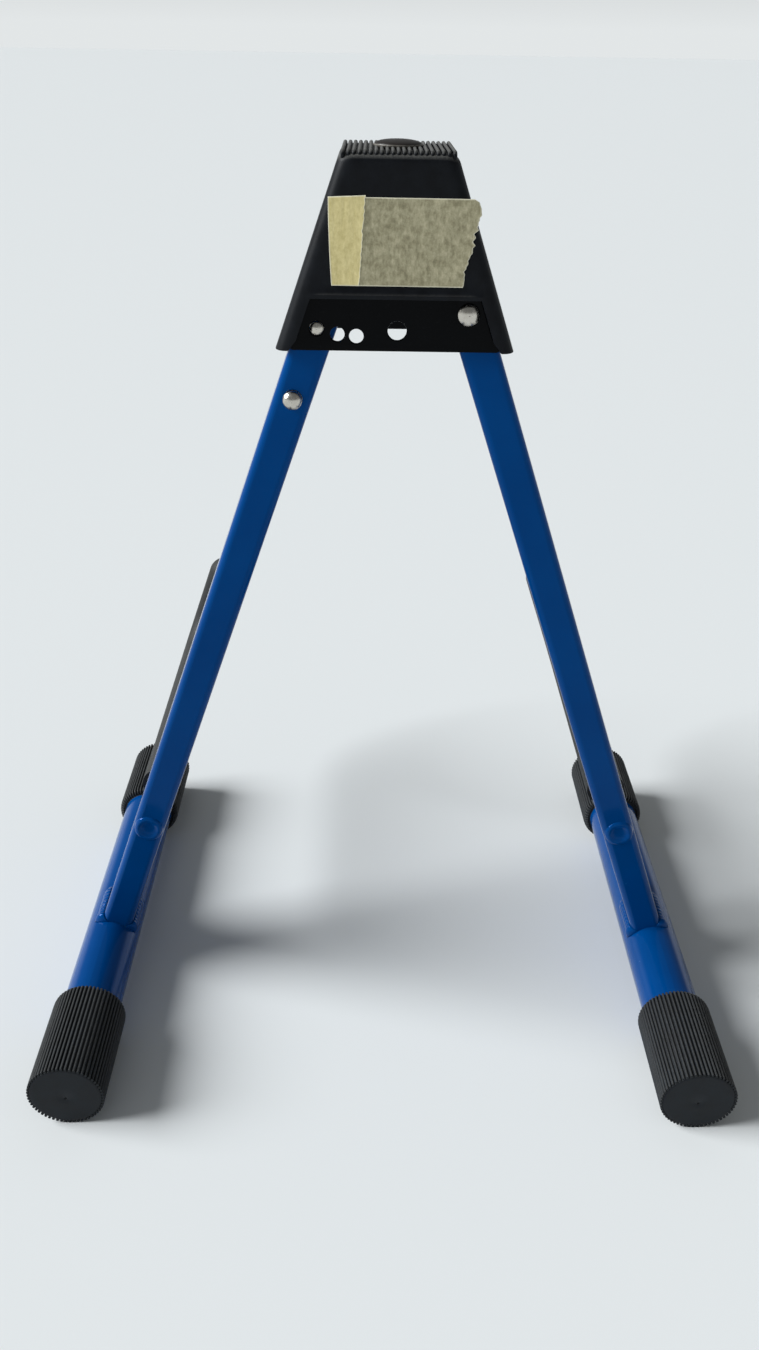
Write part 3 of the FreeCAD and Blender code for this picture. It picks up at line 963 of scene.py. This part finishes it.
def pad_skin():
    """Outer skin of the moulding, open underneath, before it gets its wall."""
    mesh = bmesh.new()
    grid = []
    hanging = []
    for z, inset in pad_rows():
        half_width = pad_half_width(z)
        corner = max(PAD_UPRIGHT_CORNER - inset, PAD_LEAST_CORNER)
        outline = pad_outline(half_width - inset, PAD_HALF_DEPTH - inset, corner)
        at_lip = abs(z - PAD_PANEL_FOOT - PAD_LIP_AT) < PAD_SAME_ROW
        bulge = PAD_LIP_BULGE if at_lip else 0.0
        lifts = foot_lift(outline) if z < pad_low.z + PAD_SAME_ROW else [0.0] * len(outline)
        row = []
        for (x, y, _), lift in zip(outline, lifts):
            inboard = half_width - PAD_UPRIGHT_CORNER - abs(x)
            out = bulge * max(0.0, min(1.0, inboard / PAD_LIP_FADE))
            row.append(mesh.verts.new((x, PAD_MIDDLE.y + y + math.copysign(out, y), z + lift)))
        grid.append((z, row))
        hanging = [hangs for _, _, hangs in outline]
    for (_, above), (z, below) in zip(grid, grid[1:]):
        for i in range(len(above)):
            j = (i + 1) % len(above)
            if hanging[i] or z >= PAD_PANEL_FOOT - PAD_SAME_ROW:
                mesh.faces.new((above[i], above[j], below[j], below[i]))
    mesh.faces.new(grid[0][1])
    loose = [point for point in mesh.verts if not point.link_faces]
    bmesh.ops.delete(mesh, geom=loose, context="VERTS")
    return mesh


def pad_rib_tree():
    """A row of bent round ribs over the top of the pad, each ending in a nose in the shoulder."""
    tree, given, result = tree_with(
        "ribs_over_the_pad",
        {
            "Count": "Int",
            "Pitch": "Float",
            "Rib Radius": "Float",
            "Half Run": "Float",
            "Run Down": "Float",
            "Bend Radius": "Float",
            "Centre": "Vector",
            "Material": "Material",
        },
    )
    points, _, (sideways, falling) = points_with_shares(tree, RIB_SIDEWAYS, RIB_FALLING)
    across = add(tree, "ShaderNodeMath", {0: sideways, 1: given["Half Run"]}, operation="MULTIPLY")
    down = add(tree, "ShaderNodeMath", {0: falling, 1: given["Run Down"]}, operation="MULTIPLY")
    spot = add(
        tree, "ShaderNodeCombineXYZ", {"Y": across.outputs["Value"], "Z": down.outputs["Value"]}
    )
    route = add(
        tree, "GeometryNodeSetPosition", {"Geometry": points, "Position": spot.outputs["Vector"]}
    )
    bent = add(
        tree,
        "GeometryNodeFilletCurve",
        {
            "Curve": route.outputs["Geometry"],
            "Count": 5,
            "Radius": given["Bend Radius"],
            "Limit Radius": True,
        },
        mode="POLY",
    )
    section = add(
        tree, "GeometryNodeCurvePrimitiveCircle", {"Resolution": 12, "Radius": given["Rib Radius"]}
    )
    rib = add(
        tree,
        "GeometryNodeCurveToMesh",
        {
            "Curve": bent.outputs["Curve"],
            "Profile Curve": section.outputs["Curve"],
            "Fill Caps": True,
        },
    )
    step = add(tree, "ShaderNodeCombineXYZ", {"X": given["Pitch"]})
    gaps = add(tree, "ShaderNodeMath", {0: given["Count"], 1: 1.0}, operation="SUBTRACT")
    half = add(tree, "ShaderNodeMath", {0: gaps.outputs["Value"], 1: -0.5}, operation="MULTIPLY")
    first = add(
        tree,
        "ShaderNodeVectorMath",
        {0: step.outputs["Vector"], "Scale": half.outputs["Value"]},
        operation="SCALE",
    )
    seats = add(
        tree,
        "GeometryNodeMeshLine",
        {
            "Count": given["Count"],
            "Start Location": first.outputs["Vector"],
            "Offset": step.outputs["Vector"],
        },
    )
    copies = add(
        tree,
        "GeometryNodeInstanceOnPoints",
        {"Points": seats.outputs["Mesh"], "Instance": rib.outputs["Mesh"]},
    )
    end_with_copies(tree, given, result, copies)
    return tree


# the last value is high so that painted light from above, mixed with dust, lightens the rib tops and
# lip
pad_rubber = black_rubber("moulded_pad_rubber", "#0C0E12", "#16191E", 0.4, 0.45, 0.12, 0.9)
pad = placed_piece("head_pad_moulding", pad_skin(), pad_rubber)
wall = pad.modifiers.new("rubber_wall", "SOLIDIFY")
wall.thickness = PAD_WALL
wall.offset = -1.0
wall.use_even_offset = True
round_over(pad, PAD_RIM_ROUND, segments=4, sharper_than=50)
finish_with_tree(
    pad,
    pad_rib_tree(),
    {
        "Count": RIB_COUNT,
        "Pitch": RIB_PITCH,
        "Rib Radius": RIB_RADIUS,
        "Half Run": PAD_HALF_DEPTH - RIB_INSET - RIB_RADIUS,
        "Run Down": RIB_RUN_DOWN,
        "Bend Radius": RIB_BEND,
        "Centre": (0.0, PAD_MIDDLE.y, pad_high.z - RIB_RADIUS),
        "Material": pad_rubber,
    },
)
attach(pad, "head_and_right_leg")
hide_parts("head_pad")

# ---------------------------------------------------------------------------------------
# Head badge: a smooth domed disc moulded in hard brownish black rubber and pressed into
# the ribbed top. A thin ragged line of flash was left round its edge by the mould.

BADGE_STEPS = 96
BADGE_DOME_STEPS = 12
BADGE_SKIRT = 0.9 * MM
BADGE_SHOULDER = 1.1 * MM
FLASH_WIDTH = 0.35 * MM
FLASH_THICKNESS = 0.12 * MM


def hard_rubber():
    """Hard rubber: smooth brownish black with a soft gloss. The eye gets a cloudy tone, faint
    finger smears in the gloss, and a paler ragged line where the mould halves met."""
    material, tree, shader, place = start_material("hard_badge_rubber", Specular_IOR_Level=0.35)
    cloud = add(tree, "ShaderNodeTexNoise", {"Vector": place, "Scale": per(5), "Detail": 4.0})
    tint = add(
        tree,
        "ShaderNodeMix",
        {"Factor": cloud.outputs["Fac"], "A": colour("#1A1614"), "B": colour("#2A2523")},
        data_type="RGBA",
    )
    flash = add(tree, "ShaderNodeAttribute", attribute_name="flash")
    pale = add(
        tree,
        "ShaderNodeMix",
        {"Factor": flash.outputs["Fac"], "A": tint.outputs["Result"], "B": colour("#77736C")},
        data_type="RGBA",
    )
    tree.links.new(pale.outputs["Result"], shader.inputs["Base Color"])
    smear = add(tree, "ShaderNodeTexNoise", {"Vector": place, "Scale": per(3), "Detail": 5.0})
    gloss = add(
        tree, "ShaderNodeMapRange", {"Value": smear.outputs["Fac"], "To Min": 0.25, "To Max": 0.5}
    )
    tree.links.new(gloss.outputs["Result"], shader.inputs["Roughness"])
    return material


badge_low, badge_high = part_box("head_badge")
badge_radius = (badge_high.x - badge_low.x) / 2
badge_seat = Vector((0, (badge_low.y + badge_high.y) / 2, badge_low.z))
badge_rise = badge_high.z - badge_low.z
dome_radius = badge_radius - FLASH_WIDTH
outline = [(0, 0.0), (dome_radius, 0.0), (dome_radius, BADGE_SKIRT * 0.7)]
outline += [(badge_radius, BADGE_SKIRT), (badge_radius, BADGE_SKIRT + FLASH_THICKNESS)]
outline += [(dome_radius, BADGE_SHOULDER)]
for step in range(1, BADGE_DOME_STEPS):
    lean = math.radians(90 * step / BADGE_DOME_STEPS)
    crown = (badge_rise - BADGE_SHOULDER) * math.sin(lean)
    outline.append((dome_radius * math.cos(lean), BADGE_SHOULDER + crown))
outline.append((0, badge_rise))
badge_mesh = turned_mesh(outline, badge_seat, Vector((0, 0, 1)), BADGE_STEPS)
for point in badge_mesh.verts:
    spoke = Vector((point.co.x - badge_seat.x, point.co.y - badge_seat.y, 0))
    if spoke.length > badge_radius - FLASH_WIDTH * 0.5:
        ragged = noise.noise(spoke * per(1.3))
        point.co -= spoke.normalized() * FLASH_WIDTH * (0.5 + 0.9 * ragged)
badge = placed_piece("head_badge_dome", badge_mesh, hard_rubber())
flash = badge.data.attributes.new("flash", "FLOAT", "POINT")
for point, value in zip(badge.data.vertices, flash.data):
    reach = math.hypot(point.co.x - badge_seat.x, point.co.y - badge_seat.y)
    past = reach - badge_radius + 1.2 * FLASH_WIDTH
    value.value = max(0.0, min(1.0, past / (0.4 * FLASH_WIDTH)))
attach(badge, "head_and_right_leg")
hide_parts("head_badge")

# ---------------------------------------------------------------------------------------
# Paper tape: a piece of creped masking paper torn off a roll and pressed on the pad's rear
# panel. Its left end is folded back on itself for a grip, its right end is the torn one.

TAPE_THICKNESS = 0.14 * MM
TAPE_COLUMNS = 110
TAPE_ROWS = 64
TAPE_FOLD = 11.6 * MM
TAPE_TILT = math.radians(-0.15)
TAPE_MARGIN = 0.2 * MM
TAPE_INSET = 0.3 * MM
TAPE_STAND_OFF = 0.12 * MM
TAPE_LAYER = 0.22 * MM
TAPE_RIPPLE = 0.05 * MM
TAPE_RIPPLE_SIZE = (1.4 * MM, 9 * MM)
TAPE_SWELL = 0.09 * MM
TAPE_SWELL_SIZE = (9 * MM, 7 * MM)
TAPE_CURL = 0.22 * MM
CURL_REACH = 0.8 * MM
EDGE_HIGHLIGHT_REACH = 0.35 * MM
END_WEAR = 0.9 * MM
FOLD_RISE = 0.05
FOLD_LEAN = 1.7 * MM
FOLD_RAGGED = 0.7 * MM
TEAR_MARGIN = 0.6 * MM
TEAR_LEAN = 5.8 * MM
TEAR_CORNER = 2.6 * MM
TEAR_RAGGED = 1.5 * MM
TEAR_BOW = 1.15
TEAR_CORNER_TURN = 18
TORN_WAVE = 5 * MM
TORN_BITE = 1.1 * MM
TORN_BITE_SHARE = 0.45


def masking_paper():
    """Creped masking paper: thin, matt and straw coloured. Where it is stuck down the dark
    pad shows through in mottled patches, the doubled grip is yellower and lighter, and fine
    creases run up and down across the roll. A thin paler line along every edge is a painted
    highlight."""
    material, tree, shader, place = start_material("creped_masking_paper", Specular_IOR_Level=0.2)
    fold = add(tree, "ShaderNodeAttribute", attribute_name="doubled")
    edge = add(tree, "ShaderNodeAttribute", attribute_name="edge")
    # crepe creases are about 0.3 mm apart, and are drawn twice that to show
    crease_place = add(tree, "ShaderNodeMapping", {"Vector": place, "Scale": (1.0, 1.0, 0.45)})
    crease = add(
        tree,
        "ShaderNodeTexNoise",
        {"Vector": crease_place.outputs["Vector"], "Scale": per(0.7), "Detail": 4.0},
    )
    patch = add(
        tree,
        "ShaderNodeTexNoise",
        {"Vector": place, "Scale": per(2.2), "Detail": 6.0, "Roughness": 0.7},
    )
    both = add(
        tree,
        "ShaderNodeMix",
        {"Factor": 0.35, "A": patch.outputs["Fac"], "B": crease.outputs["Fac"]},
        data_type="FLOAT",
    )
    wet = add(
        tree,
        "ShaderNodeMapRange",
        {"Value": both.outputs["Result"], "From Min": 0.38, "From Max": 0.64},
    )
    stuck = add(
        tree,
        "ShaderNodeMix",
        {"Factor": wet.outputs["Result"], "A": colour("#8E886C"), "B": colour("#C4BD9E")},
        data_type="RGBA",
    )
    grip = add(
        tree,
        "ShaderNodeMix",
        {"Factor": wet.outputs["Result"], "A": colour("#D8C98C"), "B": colour("#F0E2A8")},
        data_type="RGBA",
    )
    body = add(
        tree,
        "ShaderNodeMix",
        {"Factor": fold.outputs["Fac"], "A": stuck.outputs["Result"], "B": grip.outputs["Result"]},
        data_type="RGBA",
    )
    # painted highlight: a thin paler line along every edge of the paper
    edge_highlighted = add(
        tree,
        "ShaderNodeMix",
        {"Factor": edge.outputs["Fac"], "A": body.outputs["Result"], "B": colour("#F4F0D8")},
        data_type="RGBA",
    )
    tree.links.new(edge_highlighted.outputs["Result"], shader.inputs["Base Color"])
    gloss = add(
        tree,
        "ShaderNodeMapRange",
        {"Value": crease.outputs["Fac"], "To Min": 0.6, "To Max": 0.85},
    )
    tree.links.new(gloss.outputs["Result"], shader.inputs["Roughness"])
    skin = add(
        tree,
        "ShaderNodeBump",
        {"Height": crease.outputs["Fac"], "Strength": 0.6, "Distance": 0.12 * MM},
    )
    tree.links.new(skin.outputs["Normal"], shader.inputs["Normal"])
    return material


tape_low, tape_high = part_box("paper_tape_label")
tape_height = tape_high.z - tape_low.z


def ragged(seed, across, size):
    """A torn paper line: slow waves with small bites, the same on every run."""
    slow = noise.noise(Vector((seed, across / TORN_WAVE, 0)))
    bites = noise.noise(Vector((seed + 7, across / TORN_BITE, 0)))
    return size * (slow + TORN_BITE_SHARE * bites)


def worn_end(up, z):
    """The folded end, a little short towards its foot."""
    return END_WEAR * (1 - up) ** 2


def fold_end(up, z):
    """The free end of the folded layer, which leans in towards the foot."""
    return -FOLD_LEAN * (1 - up) + ragged(5.0, z, FOLD_RAGGED)


def torn_end(up, z):
    """The torn end: it runs in towards the foot, and its top corner is pulled off."""
    lean = TEAR_LEAN * (1 - up) ** TEAR_BOW
    corner = TEAR_CORNER * up ** TEAR_CORNER_TURN
    return -TEAR_MARGIN - lean - corner + ragged(2.0, z, TEAR_RAGGED)


def tape_sheet(mesh, marks, layer, x_from, x_to, left_ragged, right_ragged, doubled):
    """One layer of the tape as a grid over the panel, its ends following torn or worn lines."""
    grid = []
    for row in range(TAPE_ROWS + 1):
        up = row / TAPE_ROWS
        z = tape_low.z + TAPE_MARGIN + (tape_height - 2 * TAPE_MARGIN) * up
        start = x_from + left_ragged(up, z)
        end = x_to + right_ragged(up, z)
        line = []
        for column in range(TAPE_COLUMNS + 1):
            along = column / TAPE_COLUMNS
            x = start + (end - start) * along
            wide, tall = TAPE_RIPPLE_SIZE
            ripple = noise.noise(Vector((x / wide, z / tall, layer)))
            wide, tall = TAPE_SWELL_SIZE
            swell = noise.noise(Vector((x / wide, z / tall, layer + 3)))
            lift = TAPE_RIPPLE * ripple + TAPE_SWELL * swell
            tips = min(along, 1 - along) * (end - start)
            sides = min(up, 1 - up) * tape_height
            near = min(tips, sides)
            curl = TAPE_CURL * math.exp(-near / CURL_REACH) * (0.4 + swell)
            y = tape_high.y - TAPE_STAND_OFF - layer * TAPE_LAYER - lift - max(0.0, curl)
            rise = TAPE_TILT + doubled * up * FOLD_RISE
            tilted_z = z + (x - tape_low.x) * rise
            point = mesh.verts.new((x, y, tilted_z))
            # the second mark is the painted edge highlight, full at the edge and gone a short way in
            marks[point] = (doubled, max(0.0, 1 - near / EDGE_HIGHLIGHT_REACH))
            line.append(point)
        grid.append(line)
    for low, high in zip(grid, grid[1:]):
        for i in range(len(low) - 1):
            mesh.faces.new((low[i], low[i + 1], high[i + 1], high[i]))


tape_mesh = bmesh.new()
marks = {}
left_end = tape_low.x + TAPE_INSET
fold_at = tape_low.x + TAPE_FOLD
tape_sheet(tape_mesh, marks, 0, left_end, tape_high.x, worn_end, torn_end, 0.0)
tape_sheet(tape_mesh, marks, 1, left_end, fold_at, worn_end, fold_end, 1.0)
tape_marks = [marks[point] for point in tape_mesh.verts]
tape = placed_piece("paper_tape_torn", tape_mesh, masking_paper())
doubled = tape.data.attributes.new("doubled", "FLOAT", "POINT")
# the edge attribute carries the painted highlight along the paper's edges
edge = tape.data.attributes.new("edge", "FLOAT", "POINT")
for i, (fold_mark, edge_highlight_mark) in enumerate(tape_marks):
    doubled.data[i].value = fold_mark
    edge.data[i].value = edge_highlight_mark
paper = tape.modifiers.new("paper_thickness", "SOLIDIFY")
paper.thickness = TAPE_THICKNESS
paper.offset = 0.0
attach(tape, "head_and_right_leg")
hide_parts("paper_tape_label")

# ---------------------------------------------------------------------------------------
# Floor, light and camera: a pale matt floor in a pale room, with broad soft daylight from
# the left.

CAMERA_PLACE = Vector((-7.2, -413.1, 358.2)) * MM
CAMERA_PITCH = -29.52
CAMERA_YAW = 0.64
CAMERA_ROLL = 0.98
CAMERA_LENS = 29.87
FLOOR_REACH = 40.0
DAYLIGHT_STRENGTH = 4.95
DAYLIGHT_SPREAD = 34.0
DAYLIGHT_HEIGHT = 33.0
DAYLIGHT_TURN = 2.0

floor_mesh = bpy.data.meshes.new("pale_floor")
corners = [(-FLOOR_REACH, -FLOOR_REACH, 0), (FLOOR_REACH, -FLOOR_REACH, 0)]
corners += [(FLOOR_REACH, FLOOR_REACH, 0), (-FLOOR_REACH, FLOOR_REACH, 0)]
floor_mesh.from_pydata(corners, [], [(0, 1, 2, 3)])
floor = bpy.data.objects.new("pale_floor", floor_mesh)
bpy.context.scene.collection.objects.link(floor)
floor_paint, _, floor_shader, _ = start_material(
    "pale_matt_floor", Roughness=0.8, Specular_IOR_Level=0.15
)
floor_shader.inputs["Base Color"].default_value = colour("#DEE1E2")
floor_mesh.materials.append(floor_paint)

daylight = bpy.data.lights.new("daylight", "SUN")
daylight.energy = DAYLIGHT_STRENGTH
daylight.angle = math.radians(DAYLIGHT_SPREAD)
daylight.color = (0.97, 0.99, 1.0)
lamp = bpy.data.objects.new("daylight", daylight)
height = math.radians(DAYLIGHT_HEIGHT)
turn = math.radians(DAYLIGHT_TURN)
level = math.cos(height)
towards = Vector((-level * math.cos(turn), -level * math.sin(turn), math.sin(height)))
lamp.rotation_euler = towards.to_track_quat("Z", "Y").to_euler()
bpy.context.scene.collection.objects.link(lamp)

room = bpy.data.worlds.new("pale_room")
room.use_nodes = True
sky = room.node_tree
direction = add(sky, "ShaderNodeTexCoord").outputs["Generated"]
upwards = add(sky, "ShaderNodeSeparateXYZ", {"Vector": direction})
haze = add(
    sky,
    "ShaderNodeMapRange",
    {
        "Value": upwards.outputs["Z"],
        "From Min": 0.01,
        "From Max": 0.22,
        "To Min": 0.86,
        "To Max": 0.22,
    },
)
sky.links.new(haze.outputs["Result"], sky.nodes["Background"].inputs["Strength"])
sky.nodes["Background"].inputs["Color"].default_value = colour("#F2F6F7")
bpy.context.scene.world = room
bpy.context.scene.view_settings.view_transform = "Standard"

camera_data = bpy.data.cameras.new("camera")
camera_data.lens = CAMERA_LENS
camera_data.sensor_width = 36
camera = bpy.data.objects.new("camera", camera_data)
yaw = Matrix.Rotation(math.radians(-CAMERA_YAW), 4, "Z")
pitch = Matrix.Rotation(math.radians(90 + CAMERA_PITCH), 4, "X")
roll = Matrix.Rotation(math.radians(CAMERA_ROLL), 4, "Z")
camera.matrix_world = Matrix.Translation(CAMERA_PLACE) @ yaw @ pitch @ roll
bpy.context.scene.collection.objects.link(camera)
bpy.context.scene.camera = camera
